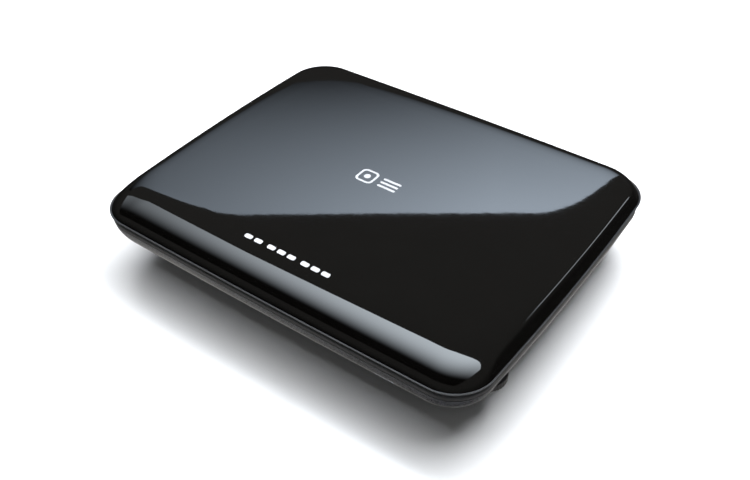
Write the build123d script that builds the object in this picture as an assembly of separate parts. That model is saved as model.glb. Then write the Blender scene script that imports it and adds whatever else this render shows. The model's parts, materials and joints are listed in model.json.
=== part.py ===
"""Portable disc player, a clamshell: a hull with the disc drive in it and a lid that holds the screen.

Units are millimetres. +X runs along the long side, to the right of somebody facing the front, +Y runs from
the front to the hinge and +Z is up. The origin is the middle of the footprint, on the surface that the
rubber feet stand on. The lid is shut.
"""
from build123d import *
from math import pi, sin, cos, hypot, sqrt
import os

# ---------------------------------------------------------------- driving dimensions
WIDTH = 200.0            # across the lid, along X
DEPTH = 160.0            # front to back, along Y
HEIGHT = 34.0            # feet to lid, shut
CORNER = 18.0            # plan corner radius of the widest outline
SIDE_BOW = 2.0           # how far each short side bulges at its middle
END_BOW = 0.8            # how far the front and the back bulge at their middle

FOOT_DROP = 1.4          # the feet hold the hull this far off the surface
HULL_WALL = 2.0          # moulded wall of the hull
PART_Z = 23.9            # top of the hull's wall
DECK_EDGE_Z = 24.2       # underside of the deck's rim
DECK_Z = 26.8            # top of the deck
LID_Z = 27.6             # underside of the shut lid
COVER_Z = 28.3           # where the lid's outer cover starts, above the bezel's lip
RUN = 0.05               # radial clearance of a running fit
GAP = 0.15               # clearance round a key or a fixed insert

# the lid's hinge: a barrel in the hull's rear edge
HINGE_Y = 72.5
HINGE_Z = 20.5
BARREL_R = 6.3
BARREL_HALF = 48.0
NECK_HALF = 40.0
NECK_Y0, NECK_Y1 = 71.5, 75.3
HINGE_PIN_R = 2.0
HINGE_PIN_X0, HINGE_PIN_X1 = 40.0, 60.0
NOTCH_CLEAR = 0.4
NOTCH_WALL = 1.5

# the disc
DISC_X, DISC_Y = -22.0, -4.0
WELL_R = 62.0
WELL_WALL = 1.5
WELL_FLOOR_Z = 18.8
LEDGE_Z = 23.3           # underside of the sunk part of the deck that the door lies over
HUB_HOLE_R = 17.0

# the disc door, flush in the deck
DOOR_SIDE, DOOR_CORNER = 130.0, 14.0
DOOR_Y = -3.0
DOOR_T = 1.9
DOOR_GAP = 0.4
DOOR_Z = DECK_Z - DOOR_T
DOOR_ROLL = DOOR_T / 2
DOOR_AXIS_Y = DOOR_Y + DOOR_SIDE / 2 - DOOR_ROLL
DOOR_AXIS_Z = DECK_Z - DOOR_ROLL
DOOR_PIN_R, DOOR_PIN_END = 0.6, 59.2
RECESS_Z = DOOR_Z - 0.05

# the laser sled and what drives it
LENS_X = 2.0             # at rest, nearest to the spindle
SLED_TRAVEL = 34.0
ROD_R, RAIL_Z = 1.5, 12.5
ROD_YS = (DISC_Y - 17.0, DISC_Y + 17.0)
SCREW_Y, SCREW_R = DISC_Y + 25.0, 1.2
CHASSIS_X0, CHASSIS_X1 = -49.0, 55.0
CHASSIS_Y0, CHASSIS_Y1 = -36.0, 33.0
CHASSIS_Z0, CHASSIS_Z1 = 7.0, 8.2

# the screen
SCREEN_Y = -12.0
SCREEN_W, SCREEN_D = 154.0, 87.0
PANEL_W, PANEL_D, PANEL_Z1 = 160.0, 94.0, 31.4
BEZEL_Z = 29.4           # top of the bezel's plate, inside the lid
LID_POST_Z, EAR_Z = 30.4, 30.6
TRAY_Z = 31.8            # back of the tray that holds the panel
CEILING_Z = 32.8         # underside of the lid's outer skin
SPEAKER_X, SPEAKER_Y, SPEAKER_R = 60.0, 52.0, 13.0
MARK_Z = 33.6            # floor of the pocket that the lid's mark is set in
BADGE_XY = (-8.5, 4.8)
DASH_Y = -57.8

# the keys: (name, x, y, width, depth)
KEY_X = 69.0
KEY_TOP = DECK_Z + 0.3
KEY_FOOT_Z = 23.6        # a key's travel is 0.6, down to 23.0
KEY_SHOULDER_Z = 24.75
KEY_SKIRT = 0.8
DECK_UNDER_Z = 24.8
BOARD_Z, BOARD_T = 19.0, 1.2
SWITCH_TOP = 22.9
KEYS = (
    ("open_button", KEY_X, 40.0, 28.0, 9.0),
    ("menu_key", KEY_X - 13.0, 26.0, 13.0, 6.0),
    ("display_key", KEY_X + 13.0, 26.0, 13.0, 6.0),
    ("play_key", KEY_X, -21.0, 18.0, 7.0),
    ("stop_key", KEY_X, -31.0, 18.0, 7.0),
    ("previous_key", KEY_X - 13.0, -41.0, 13.0, 6.0),
    ("next_key", KEY_X + 13.0, -41.0, 13.0, 6.0),
)
NAV_Y, NAV_R, NAV_BORE, ENTER_R = 2.0, 15.0, 7.4, 6.9

# ports and controls on the sides
PORT_Z = 16.0
PORT_FACE = 94.5         # the flat floor of each port scoop, from the middle
PORT_BACK = 91.8         # the inner face of the wall behind a scoop
JACK_R, JACK_BORE = 3.4, 1.8
JACK_YS = (-33.0, -21.0)
DC_Y, DC_R, DC_BORE, AV_Y = -38.0, 3.9, 2.75, -24.0
SWITCH_Y, KNOB_Y = -6.0, -8.0
WHEEL_X, WHEEL_Y, WHEEL_R = 90.0, -52.0, 8.3
WHEEL_Z0, WHEEL_Z1 = 15.6, 18.6
AXLE_R = 1.5
WINDOW_X, WINDOW_W, WINDOW_H, WINDOW_Z = 60.0, 9.0, 1.8, 18.0

# the battery and its hatch
BATTERY_X = 69.0
HATCH_Y, HATCH_W, HATCH_D = -2.5, 20.0, 71.0
HATCH_TOP = 2.4
HATCH_SCREW_Y = -34.8

# screw posts and feet
POST_TOP = 11.6
POSTS = [(x, y) for x in (-74.0, 74.0) for y in (-54.0, 54.0)]
FEET = [(x, y) for x in (-62.0, 62.0) for y in (-44.0, 44.0)]
FOOT_TOP = 2.2
DAMPERS = [(x, y) for x in (-44.0, 50.0) for y in (DISC_Y - 27.0, DISC_Y + 32.0)]
MAIN_BOARD_Z, MAIN_BOARD_TOP = 10.8, 12.2
MAIN_POSTS = [(x, y) for x in (-80.0, -55.0) for y in (-41.0, 41.0)]
KEY_POSTS = [(x, y) for x in (51.9, 86.0) for y in (-14.0, 34.0)]
BRACKET_X0, BRACKET_X1, BRACKET_Y = 50.1, 59.0, 61.5
BRACKET_Z = 16.5
SLEEVE_R = 4.0
LID_POSTS = [(-87.0, -62.0), (87.0, -62.0), (-90.0, 0.0), (90.0, 0.0), (-84.0, 66.0), (84.0, 66.0)]
FRAME_POSTS = [(x, y) for x in (-85.0, 85.0) for y in (-40.0, 20.0)]
BUMPERS = [(-92.0, 45.0), (92.0, 45.0), (-70.0, -73.5), (70.0, -73.5)]

# ---------------------------------------------------------------- profiles: (z, side, front, back) insets
LID_PROFILE = (
    (28.3, 0.50, 0.50, 0.60),
    (29.3, 1.10, 1.10, 1.10),
    (30.3, 1.70, 2.20, 1.60),
    (31.2, 2.25, 3.90, 2.10),
    (32.0, 2.75, 6.10, 2.60),
    (32.6, 3.15, 8.40, 3.00),
    (33.1, 3.60, 11.00, 3.50),
    (33.45, 4.15, 13.50, 4.15),
    (33.7, 4.90, 16.00, 5.10),
    (33.85, 5.90, 18.50, 6.30),
    (33.95, 7.60, 21.50, 8.40),
    (34.0, 10.50, 25.50, 12.00),
)
# the lid's inside: the outside moved down by the skin and in by the wall
LID_SKIN, LID_WALL = 1.2, 1.4
LID_HOLLOW = tuple((z - LID_SKIN, *(inset + LID_WALL for inset in insets)) for z, *insets in LID_PROFILE)
HULL_PROFILE = (
    (1.4, 19.0, 19.0, 19.0),
    (2.2, 16.6, 16.6, 16.6),
    (5.0, 13.3, 13.3, 13.6),
    (8.0, 10.4, 10.4, 10.8),
    (11.0, 7.6, 7.6, 8.0),
    (14.0, 5.1, 5.1, 5.2),
    (17.0, 3.0, 3.0, 2.9),
    (20.0, 1.5, 1.5, 1.3),
    (22.0, 0.9, 0.9, 1.5),
    (23.9, 0.6, 0.6, 2.2),
)
DECK_PROFILE = (
    (24.2, 0.6, 0.6, 2.4),
    (25.2, 0.6, 0.6, 3.3),
    (26.2, 0.8, 0.8, 4.9),
    (26.8, 1.6, 1.6, 7.4),
)

LIP_PROFILE = ((27.6, 0.5, 0.5, 0.5), (27.9, 0.0, 0.0, 0.0), (28.3, 0.0, 0.0, 0.0))


# ---------------------------------------------------------------- outlines and lofts
def tangent_corner(cx, cy, cr, dx, dy, dr, radius, sx, sy):
    """Centre of the circle of that radius that touches two larger ones from inside, in quadrant (sx, sy)."""
    a, b = cr - radius, dr - radius
    span = hypot(dx - cx, dy - cy)
    along = (a * a - b * b + span * span) / (2 * span)
    off = sqrt(max(a * a - along * along, 0.0))
    ux, uy = (dx - cx) / span, (dy - cy) / span
    options = [(cx + along * ux - s * off * uy, cy + along * uy + s * off * ux) for s in (1, -1)]
    return max(options, key=lambda p: p[0] * sx + p[1] * sy)


def outline(z, side, front, back, corner):
    """The player's bowed, round-cornered plan outline at height z, drawn in from the widest one."""
    hx, y0, y1 = WIDTH / 2 - side, -DEPTH / 2 + front, DEPTH / 2 - back
    mid, hy = (y0 + y1) / 2, (y1 - y0) / 2
    side_r = hy * hy / (2 * SIDE_BOW)
    end_r = hx * hx / (2 * END_BOW)
    circles = {
        "right": (hx - side_r, mid, side_r),
        "back": (0.0, y1 - end_r, end_r),
        "left": (side_r - hx, mid, side_r),
        "front": (0.0, y0 + end_r, end_r),
    }
    corners = []
    for one, two, sx, sy in (
        ("front", "right", 1, -1), ("right", "back", 1, 1), ("back", "left", -1, 1), ("left", "front", -1, -1)
    ):
        centre = tangent_corner(*circles[one], *circles[two], corner, sx, sy)
        ends = []
        for name in (one, two):
            cx, cy, r = circles[name]
            far = hypot(centre[0] - cx, centre[1] - cy)
            ends.append((cx + (centre[0] - cx) / far * r, cy + (centre[1] - cy) / far * r))
        chord = ((ends[0][0] + ends[1][0]) / 2 - centre[0], (ends[0][1] + ends[1][1]) / 2 - centre[1])
        size = hypot(*chord)
        middle = (centre[0] + chord[0] / size * corner, centre[1] + chord[1] / size * corner)
        corners.append((ends[0], middle, ends[1]))
    crowns = ((hx, mid), (0.0, y1), (-hx, mid), (0.0, y0))
    edges = []
    for i, (start, middle, end) in enumerate(corners):
        after = corners[(i + 1) % 4][0]
        edges.append(ThreePointArc(start, middle, end))
        edges.append(ThreePointArc(end, crowns[i], after))
    return Pos(0, 0, z) * make_face(Wire(edges))


def corner_at(side, front):
    """Corner radius of an outline drawn in by those insets: it tightens slowly as the outline shrinks."""
    return CORNER - 0.3 * min(side, 16.0) + 0.15 * (front - side)


def body_of(profile, shrink=0.0, low=None, high=None):
    """The solid inside a profile. shrink draws every outline in by a wall; low and high move its two ends."""
    rows = [list(row) for row in profile]
    if low is not None:
        rows = [row for row in rows if row[0] > low + 0.2]
        rows.insert(0, [low, *insets_at(profile, low)])
    if high is not None:
        rows = [row for row in rows if row[0] < high - 0.2]
        rows.append([high, *insets_at(profile, high)])
    return loft([outline(z, s + shrink, f + shrink, b + shrink, corner_at(s + shrink, f + shrink))
                 for z, s, f, b in rows])


def insets_at(profile, z):
    """The side, front and back insets of a profile at height z."""
    if z <= profile[0][0]:
        return profile[0][1:]
    for low, high in zip(profile, profile[1:]):
        if z <= high[0]:
            share = (z - low[0]) / (high[0] - low[0])
            return tuple(a + share * (b - a) for a, b in zip(low[1:], high[1:]))
    return profile[-1][1:]


# ---------------------------------------------------------------- plain shapes
UP = (Align.CENTER, Align.CENTER, Align.MIN)


def post(x, y, z0, z1, r):
    """An upright cylinder."""
    return Pos(x, y, z0) * Cylinder(r, z1 - z0, align=UP)


def rod_x(y, z, x0, x1, r):
    """A cylinder along X."""
    return Pos((x0 + x1) / 2, y, z) * Rot(0, 90, 0) * Cylinder(r, abs(x1 - x0))


def block(x0, x1, y0, y1, z0, z1):
    """A box between three pairs of limits, in any order."""
    return Pos((x0 + x1) / 2, (y0 + y1) / 2, (z0 + z1) / 2) * Box(abs(x1 - x0), abs(y1 - y0), z1 - z0)


def plate_x(y, z, depth, height, radius, x0, x1):
    """A plate that faces along X, with round corners."""
    return Pos(min(x0, x1), y, z) * Rot(0, 90, 0) * extrude(RectangleRounded(height, depth, radius), abs(x1 - x0))


def slab(x, y, width, depth, radius, z0, z1):
    """An upright plate with round corners."""
    return Pos(x, y, z0) * extrude(RectangleRounded(width, depth, radius), z1 - z0)


def pill(x, y, width, depth, z0, z1):
    """An upright plate with fully round ends."""
    return slab(x, y, width, depth, min(width, depth) / 2 - 0.01, z0, z1)


def group(shapes):
    """Several solids that don't touch, as one node."""
    return Compound(children=[s for shape in shapes for s in shape.solids()])


os.makedirs("parts", exist_ok=True)


def save(name, shape):
    """Writes one node."""
    export_step(shape, f"parts/{name}.step")


# ---------------------------------------------------------------- hull and deck
HULL_OUTER = body_of(HULL_PROFILE)
DECK_OUTER = body_of(DECK_PROFILE)
LID_OUTER = body_of(LID_PROFILE)
NOTCH_R = BARREL_R + NOTCH_CLEAR
NOTCH_HALF = BARREL_HALF + NOTCH_CLEAR


def barrel_notch():
    """The space that the hinge barrel and its neck turn in."""
    notch = rod_x(HINGE_Y, HINGE_Z, -NOTCH_HALF, NOTCH_HALF, NOTCH_R)
    notch += block(-NOTCH_HALF, NOTCH_HALF, HINGE_Y, DEPTH, HINGE_Z - NOTCH_R, HEIGHT)
    notch += block(-NOTCH_HALF, NOTCH_HALF, HINGE_Y - NOTCH_R, DEPTH, HINGE_Z, HEIGHT)
    return notch


def notch_lining():
    """The wall that closes the inside off from the notch."""
    half, reach = NOTCH_HALF + NOTCH_WALL, NOTCH_R + NOTCH_WALL
    return block(-half, half, HINGE_Y - reach, DEPTH, HINGE_Z - reach, HEIGHT)


def sleeve_room():
    """Room for the two hinge brackets inside the rear wall."""
    return [rod_x(HINGE_Y, HINGE_Z, s * BRACKET_X0, s * (HINGE_PIN_X1 + 0.5), SLEEVE_R + 0.3) for s in (-1, 1)]


def hull_posts():
    """Everything that stands on the hull's floor."""
    floor = FOOT_DROP + HULL_WALL
    posts = [post(x, y, FOOT_DROP, POST_TOP, 4.2) for x, y in POSTS]
    posts += [post(x, y, floor, MAIN_BOARD_Z, 2.4) for x, y in MAIN_POSTS]
    posts += [post(s * 54.5, BRACKET_Y, floor, BRACKET_Z, 3.4) for s in (-1, 1)]
    posts.append(post(BATTERY_X, HATCH_SCREW_Y, HATCH_TOP, 9.0, 3.2))
    posts.append(post(WHEEL_X, WHEEL_Y, 8.0, WHEEL_Z0 - 0.1, 3.0))
    return posts


def port_scoop(shell, side, y0, y1):
    """Cuts a flat-floored scoop for ports in one side of the hull, and thickens the wall behind it."""
    middle, depth = (y0 + y1) / 2, y1 - y0
    shell += plate_x(middle, PORT_Z, depth + 4.0, 11.6, 5.7, side * PORT_BACK, side * 99.0) & HULL_OUTER
    shell -= block(side * 82.0, side * PORT_BACK, y0, y1, MAIN_BOARD_TOP, 20.2)
    return shell - plate_x(middle, PORT_Z, depth, 8.0, 3.9, side * PORT_FACE, side * 102.0)


def hull_cuts():
    """The holes in the hull for screws, feet, battery, vents, ports and controls."""
    cuts = []
    for x, y in POSTS:
        cuts += [post(x, y, 0.0, 3.4, 3.0), post(x, y, 3.0, 12.0, 1.5)]
    cuts += [post(x, y, 5.0, MAIN_BOARD_Z + 1.0, 1.0) for x, y in MAIN_POSTS]
    cuts += [post(s * 54.5, BRACKET_Y, 8.0, BRACKET_Z + 1.0, 1.2) for s in (-1, 1)]
    cuts += [pill(x, y, 20.3, 7.3, 0.0, FOOT_TOP) for x, y in FEET]
    cuts.append(slab(BATTERY_X, HATCH_Y, HATCH_W + 2 * GAP, HATCH_D + 2 * GAP, 2.15, 0.0, HATCH_TOP))
    cuts.append(slab(BATTERY_X, 0.0, 17.0, 62.0, 1.5, 0.0, 5.0))
    cuts.append(post(BATTERY_X, HATCH_SCREW_Y, 2.0, 8.2, 1.0))
    cuts += [pill(-34.0 + 6.0 * i, 6.0, 1.8, 34.0, 0.0, 5.0) for i in range(10)]
    cuts.append(block(88.0, 102.0, WHEEL_Y - 7.0, WHEEL_Y + 7.0, WHEEL_Z0 - 0.4, WHEEL_Z1 + 0.4))
    cuts.append(post(WHEEL_X, WHEEL_Y, WHEEL_Z0 - 0.1, WHEEL_Z1 + 0.4, WHEEL_R + 0.4))
    half_w, half_h = WINDOW_W / 2, WINDOW_H / 2
    cuts.append(block(WINDOW_X - half_w, WINDOW_X + half_w, -82.0, -74.0, WINDOW_Z - half_h, WINDOW_Z + half_h))
    cuts += [rod_x(y, PORT_Z, 90.0, 102.0, JACK_R) for y in JACK_YS]
    cuts.append(rod_x(DC_Y, PORT_Z, -102.0, -90.0, DC_R))
    cuts.append(rod_x(AV_Y, PORT_Z, -102.0, -90.0, JACK_R))
    cuts.append(block(-102.0, -90.0, SWITCH_Y - 4.3, SWITCH_Y + 4.3, PORT_Z - 1.7, PORT_Z + 1.7))
    cuts += [rod_x(HINGE_Y, HINGE_Z, s * 46.0, s * 51.0, HINGE_PIN_R + 0.3) for s in (-1, 1)]
    return cuts + sleeve_room()


def bottom_shell():
    """The hull: a tapered tub with port scoops, screw posts, foot pockets and the hinge notch."""
    shell = HULL_OUTER - body_of(HULL_PROFILE, shrink=HULL_WALL, low=FOOT_DROP + HULL_WALL)
    shell += notch_lining() & HULL_OUTER
    for shape in hull_posts():
        shell += shape & HULL_OUTER
    shell = port_scoop(shell, 1, -41.0, -13.0)
    shell = port_scoop(shell, -1, -46.0, 2.0)
    shell -= barrel_notch()
    for cut in hull_cuts():
        shell -= cut
    shell += post(WHEEL_X, WHEEL_Y, WHEEL_Z0 - 1.0, WHEEL_Z1 + 0.3, AXLE_R)
    return shell


def prism(shrink, z0, z1):
    """An upright prism on the outline of the hull's top, drawn in by shrink."""
    insets = [inset + shrink for inset in HULL_PROFILE[-1][1:]]
    return extrude(outline(z0, *insets, corner_at(insets[0], insets[1])), z1 - z0)


def deck_lip():
    """The rib under the deck's rim that drops inside the hull's wall."""
    return prism(HULL_WALL + 0.6, 22.2, DECK_UNDER_Z) - prism(HULL_WALL + 1.8, 22.0, DECK_Z)


def door_hinge_bore(r):
    """The bar of radius r on the disc door's hinge line, from pin end to pin end."""
    return rod_x(DOOR_AXIS_Y, DOOR_AXIS_Z, DISC_X - DOOR_PIN_END, DISC_X + DOOR_PIN_END, r)


def key_holes():
    """The openings in the deck for the keys."""
    holes = [slab(x, y, w + 2 * GAP, d + 2 * GAP, 1.5, DECK_UNDER_Z - 1, HEIGHT) for _, x, y, w, d in KEYS]
    return holes + [post(KEY_X, NAV_Y, DECK_UNDER_Z - 1, HEIGHT, NAV_R + GAP)]


def latch_slot():
    """The opening that the disc door's latch hook drops into."""
    return block(DISC_X - 6.6, DISC_X + 6.6, -68.0, -65.0, 21.2, HEIGHT)


def well_ring():
    """The round wall of the disc well, hung under the deck's sunk ledge."""
    ring = post(DISC_X, DISC_Y, WELL_FLOOR_Z, LEDGE_Z, WELL_R + WELL_WALL)
    return ring - post(DISC_X, DISC_Y, WELL_FLOOR_Z - 1.0, LEDGE_Z + 1.0, WELL_R) - latch_slot()


def well_floor():
    """The floor of the disc well, with the spindle's hole and the slot that the laser looks through."""
    floor = post(DISC_X, DISC_Y, WELL_FLOOR_Z - WELL_WALL, WELL_FLOOR_Z, WELL_R + WELL_WALL)
    floor -= post(DISC_X, DISC_Y, 10.0, HEIGHT, HUB_HOLE_R)
    return floor - slab((LENS_X + 24.0) / 2, DISC_Y, 53.8, 12.0, 3.0, 10.0, HEIGHT)


def deck_cover():
    """The deck: its rim, the sunk ledge under the door, the key openings and screw bosses."""
    deck = DECK_OUTER - prism(HULL_WALL, DECK_EDGE_Z - 1.0, DECK_UNDER_Z)
    deck += deck_lip() - notch_lining()
    deck += notch_lining() & DECK_OUTER
    side = DOOR_SIDE + 2 * DOOR_GAP
    deck += slab(DISC_X, DOOR_Y, side + 3.0, side + 3.0, DOOR_CORNER + 1.9, LEDGE_Z, DECK_UNDER_Z)
    for x, y in POSTS:
        deck += post(x, y, POST_TOP, DECK_UNDER_Z, 4.2)
    for x, y in KEY_POSTS:
        deck += post(x, y, BOARD_Z + BOARD_T, DECK_UNDER_Z, 1.8)
    deck -= slab(DISC_X, DOOR_Y, side, side, DOOR_CORNER + DOOR_GAP, RECESS_Z, HEIGHT)
    deck -= post(DISC_X, DISC_Y, LEDGE_Z - 1.0, HEIGHT, WELL_R)
    deck -= latch_slot()
    deck -= door_hinge_bore(DOOR_PIN_R + RUN)
    for cut in key_holes() + [barrel_notch()] + sleeve_room():
        deck -= cut
    for x, y in POSTS:
        deck -= post(x, y, POST_TOP - 1.0, 20.0, 1.4)
    for x, y in KEY_POSTS:
        deck -= post(x, y, BOARD_Z, 23.2, 1.0)
    return deck


def screw(x, y, z, length, r, head_r, head_h, up=1):
    """A pan-head screw at (x, y): its head's inner face is at z and its shank runs up, or down if up is -1."""
    shank = post(x, y, min(z, z + up * length), max(z, z + up * length), r)
    return shank + post(x, y, min(z, z - up * head_h), max(z, z - up * head_h), head_r)


save("bottom_shell", bottom_shell())
save("deck_cover", deck_cover())
save("well_ring", well_ring())
save("well_floor", well_floor())
save("rubber_feet", group(pill(x, y, 20.0, 7.0, 0.0, FOOT_TOP) for x, y in FEET))
save("shell_screws", group(screw(x, y, 3.4, 15.0, 1.4, 2.6, 1.6) for x, y in POSTS))


# ---------------------------------------------------------------- lid hinge
def hinge_bracket(side):
    """A sleeve for the hinge pin on a foot that is screwed down to the hull."""
    x0, x1 = side * BRACKET_X0, side * BRACKET_X1
    bracket = rod_x(HINGE_Y, HINGE_Z, x0, x1, SLEEVE_R)
    bracket += block(x0, x1, BRACKET_Y - 4.0, HINGE_Y, BRACKET_Z, BRACKET_Z + 1.8)
    bracket -= rod_x(HINGE_Y, HINGE_Z, side * 49.0, side * 61.0, HINGE_PIN_R + RUN)
    return bracket - post(side * 54.5, BRACKET_Y, BRACKET_Z - 1.0, 20.0, 1.2)


def hinge_barrel():
    """The lid's half of the hinge: the barrel, its neck and the plate that is clamped inside the lid."""
    barrel = rod_x(HINGE_Y, HINGE_Z, -BARREL_HALF, BARREL_HALF, BARREL_R)
    barrel += block(-NECK_HALF, NECK_HALF, NECK_Y0, NECK_Y1, HINGE_Z, BEZEL_Z)
    barrel += block(-44.0, 44.0, 66.0, 75.4, BEZEL_Z, 31.0)
    for side in (-1, 1):
        barrel -= rod_x(HINGE_Y, HINGE_Z, side * HINGE_PIN_X0, side * 49.0, HINGE_PIN_R)
    return barrel


save("hinge_brackets", group(hinge_bracket(s) for s in (-1, 1)))
save("bracket_screws", group(screw(s * 54.5, BRACKET_Y, 18.3, 9.0, 1.2, 2.2, 1.2, -1) for s in (-1, 1)))
save("hinge_barrel", hinge_barrel())
save("hinge_pins", group(
    rod_x(HINGE_Y, HINGE_Z, s * HINGE_PIN_X0, s * HINGE_PIN_X1, HINGE_PIN_R) for s in (-1, 1)))


# ---------------------------------------------------------------- disc door and keys
def disc_door():
    """The disc door: a flat plate with a rolled hinge edge, two pins and a latch hook."""
    door = slab(DISC_X, DOOR_Y, DOOR_SIDE, DOOR_SIDE, DOOR_CORNER, DOOR_Z, DECK_Z)
    door -= block(-100.0, 100.0, DOOR_AXIS_Y - 1.6, DOOR_AXIS_Y + 5.0, 20.0, HEIGHT)
    half = DOOR_SIDE / 2 - DOOR_CORNER + 2.5
    door += rod_x(DOOR_AXIS_Y, DOOR_AXIS_Z, DISC_X - half, DISC_X + half, DOOR_ROLL)
    door += block(DISC_X - half, DISC_X + half, DOOR_AXIS_Y - 2.0, DOOR_AXIS_Y, DOOR_Z, DECK_Z)
    door += door_hinge_bore(DOOR_PIN_R)
    door += block(DISC_X - 6.0, DISC_X + 6.0, -67.2, -65.6, 21.6, DOOR_Z)
    door -= post(DISC_X, DISC_Y, DECK_Z - 0.3, HEIGHT, 58.6) - post(DISC_X, DISC_Y, DECK_Z - 0.3, HEIGHT, 58.0)
    return door


def key(x, y, width, depth):
    """A key with a flange that keeps it in the deck."""
    cap = slab(x, y, width, depth, 1.35, KEY_FOOT_Z, KEY_TOP)
    return cap + slab(x, y, width + 2 * KEY_SKIRT, depth + 2 * KEY_SKIRT, 1.5, KEY_FOOT_Z, KEY_SHOULDER_Z)


def nav_ring():
    """The ring of four direction keys."""
    ring = post(KEY_X, NAV_Y, KEY_FOOT_Z, KEY_TOP, NAV_R)
    ring += post(KEY_X, NAV_Y, KEY_FOOT_Z, KEY_SHOULDER_Z, NAV_R + KEY_SKIRT)
    return ring - post(KEY_X, NAV_Y, KEY_FOOT_Z - 1.0, HEIGHT, NAV_BORE)


def enter_key():
    """The round key in the ring, kept in by a flange under it."""
    return post(KEY_X, NAV_Y, 21.9, KEY_TOP, ENTER_R) + post(KEY_X, NAV_Y, 21.9, 22.8, NAV_BORE + KEY_SKIRT)


def tact_switch(x, y, top):
    """A small press switch on the key board."""
    base = BOARD_Z + BOARD_T
    return block(x - 3.0, x + 3.0, y - 3.0, y + 3.0, base, base + 0.7) + post(x, y, base, top, 1.5)


save("disc_door", disc_door())
for name, x, y, width, depth in KEYS:
    save(name, key(x, y, width, depth))
save("nav_ring", nav_ring())
save("enter_key", enter_key())

RING_SWITCHES = [(KEY_X + 11.5 * cos(a * pi / 2), NAV_Y + 11.5 * sin(a * pi / 2)) for a in range(4)]
switches = [tact_switch(x, y, SWITCH_TOP) for _, x, y, _, _ in KEYS]
switches += [tact_switch(x, y, SWITCH_TOP) for x, y in RING_SWITCHES]
switches.append(tact_switch(KEY_X, NAV_Y, 21.2))
save("key_switches", group(switches))


# ---------------------------------------------------------------- boards and battery
def board(x, y, width, depth, z0, z1, holes, r):
    """A circuit board with its screw holes."""
    plate = slab(x, y, width, depth, 2.0, z0, z1)
    for hx, hy in holes:
        plate -= post(hx, hy, z0 - 1.0, z1 + 1.0, r)
    return plate


save("key_board", board(69.2, 0.5, 38.6, 95.0, BOARD_Z, BOARD_Z + BOARD_T, KEY_POSTS, 1.0))
save("main_board", board(-69.5, 0.0, 37.0, 92.0, MAIN_BOARD_Z, MAIN_BOARD_TOP, MAIN_POSTS, 1.0))
CHIPS = ((-67.0, 18.0, 16.0, 1.4), (-66.0, -6.0, 12.0, 1.2), (-64.0, -24.0, 8.0, 1.0), (-79.0, 22.0, 6.0, 1.6))
save("main_chips", group(
    block(x - s / 2, x + s / 2, y - s / 2, y + s / 2, MAIN_BOARD_TOP, MAIN_BOARD_TOP + h) for x, y, s, h in CHIPS))
board_screws = [screw(x, y, MAIN_BOARD_TOP, 6.0, 1.0, 2.0, 1.2, -1) for x, y in MAIN_POSTS]
board_screws += [screw(x, y, BOARD_Z, 4.0, 1.0, 2.0, 1.2) for x, y in KEY_POSTS]
save("board_screws", group(board_screws))
save("battery_pack", slab(BATTERY_X, 0.0, 16.4, 61.0, 1.4, HATCH_TOP, 13.4))
hatch = slab(BATTERY_X, HATCH_Y, HATCH_W, HATCH_D, 2.0, FOOT_DROP, HATCH_TOP)
hatch -= post(BATTERY_X, HATCH_SCREW_Y, 0.0, 2.0, 2.0) + post(BATTERY_X, HATCH_SCREW_Y, 1.0, 3.0, 1.0)
save("battery_hatch", hatch)
save("hatch_screw", screw(BATTERY_X, HATCH_SCREW_Y, 2.0, 6.0, 1.0, 2.0, 0.5))


# ---------------------------------------------------------------- optical drive
def traverse_chassis():
    """The sheet-metal chassis with upturned ears that hold the guide rods and the end of the lead screw."""
    middle = ((CHASSIS_X0 + CHASSIS_X1) / 2, (CHASSIS_Y0 + CHASSIS_Y1) / 2)
    size = (CHASSIS_X1 - CHASSIS_X0, CHASSIS_Y1 - CHASSIS_Y0)
    chassis = slab(*middle, *size, 4.0, CHASSIS_Z0, CHASSIS_Z1)
    chassis -= slab(20.0, DISC_Y, 52.0, 26.0, 3.0, 0.0, CHASSIS_Z1 + 1.0)
    ears = [(x, y) for x in (-16.0, 50.0) for y in ROD_YS] + [(50.0, SCREW_Y)]
    for x, y in ears:
        chassis += block(x, x + 3.0, y - 3.0, y + 3.0, CHASSIS_Z0, 15.0)
    for y in ROD_YS:
        chassis -= rod_x(y, RAIL_Z, -17.0, 54.0, ROD_R)
    chassis -= rod_x(SCREW_Y, RAIL_Z, 49.0, 54.0, SCREW_R + RUN)
    for x, y in DAMPERS:
        chassis -= post(x, y, 0.0, 10.0, 2.0)
    return chassis


def damper(x, y):
    """A rubber damper, gripped round its waist by the chassis."""
    return post(x, y, 3.4, CHASSIS_Z0, 3.6) + post(x, y, 3.4, 9.4, 2.0) + post(x, y, CHASSIS_Z1, 9.4, 3.2)


def ball(i, r):
    """One of the three balls that grip the disc's centre hole."""
    a = 2 * pi * i / 3 + pi / 7
    return Pos(DISC_X + 6.7 * cos(a), DISC_Y + 6.7 * sin(a), 21.4) * Sphere(r)


def spindle_hub():
    """The turntable that the disc snaps on to, with its shaft."""
    hub = post(DISC_X, DISC_Y, 10.0, 19.2, 1.0) + post(DISC_X, DISC_Y, 16.8, 19.2, 5.0)
    hub += post(DISC_X, DISC_Y, 19.2, 20.2, 14.0) + post(DISC_X, DISC_Y, 20.2, 22.6, 7.3)
    for i in range(3):
        hub -= ball(i, 1.1)
    return hub


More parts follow.
